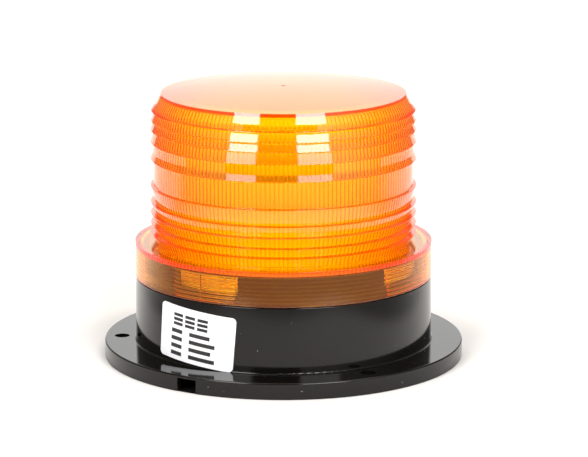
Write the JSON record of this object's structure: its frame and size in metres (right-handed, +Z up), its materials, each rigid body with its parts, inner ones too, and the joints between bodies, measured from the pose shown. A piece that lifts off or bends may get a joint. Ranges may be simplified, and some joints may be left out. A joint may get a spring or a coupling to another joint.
{
  "type": "warning beacon",
  "caption": "Round amber warning beacon with a ribbed screw-on lens on a black flanged base, an LED light source inside and a cable exit in the flange edge.",
  "frame": {"origin": "centre of the flange's underside, on the mounting surface", "axes": "+Z up along the lens axis; -Y is the side seen from the front; the cable exit is at the front left"},
  "size_m": [0.12, 0.12, 0.0906],
  "materials": {
    "black_housing": "glossy injection-moulded black plastic",
    "amber_lens": "clear amber moulded plastic",
    "label_white": "satin printed film",
    "seal_rubber": "matt black rubber",
    "grommet_rubber": "matt black rubber",
    "cover_black": "fine-textured black plastic",
    "screw_steel": "bright zinc-plated steel",
    "board_white": "white solder mask",
    "board_green": "green solder mask",
    "led_body": "white moulded plastic",
    "led_phosphor": "amber silicone",
    "chip_black": "matt moulded epoxy",
    "terminal_green": "green moulded plastic",
    "capacitor_sleeve": "dark blue shrink sleeve",
    "fuse_body": "red-brown moulded case",
    "ferrite": "dark grey ferrite",
    "copper_wire": "enamelled copper",
    "header_black": "black moulded plastic",
    "pin_metal": "gold-flashed brass"
  },
  "bodies": {
    "housing": {"base_housing": "black_housing", "rating_label": "label_white", "lens_gasket": "seal_rubber", "bottom_cover": "cover_black", "bottom_cover_gasket": "seal_rubber", "bottom_cover_screws": "screw_steel", "cable_grommet": "grommet_rubber", "led_board": "board_white", "led_board_screws": "screw_steel", "led_packages": "led_body", "led_windows": "led_phosphor", "led_resistors": "chip_black", "driver_board": "board_green", "driver_board_screws": "screw_steel", "input_terminal_block": "terminal_green", "terminal_screws": "screw_steel", "fuse": "fuse_body", "bridge_rectifier": "chip_black", "input_capacitor": "capacitor_sleeve", "output_capacitor": "capacitor_sleeve", "inductor_core": "ferrite", "inductor_winding": "copper_wire", "switching_transistor": "chip_black", "flasher_controller": "chip_black", "board_link_socket": "header_black", "board_link_header": "header_black", "board_link_pins": "pin_metal"},
    "slip_ring": {"lens_slip_ring": "seal_rubber"},
    "lens": {"lens": "amber_lens"}
  },
  "joints": [
    {"name": "lens_rise", "type": "slide", "parent": "housing", "child": "slip_ring", "axis": [0, 0, 1], "range_m": [0, 0.0068]},
    {"name": "lens_turn", "type": "hinge", "parent": "slip_ring", "child": "lens", "pos_m": [0, 0, 0.0372], "axis": [0, 0, 1], "range_deg": [0, 1800]}
  ],
  "couplings": [
    {"joint": "lens_rise", "follows": "lens_turn", "m_per_rad": 0.00021486}
  ]
}
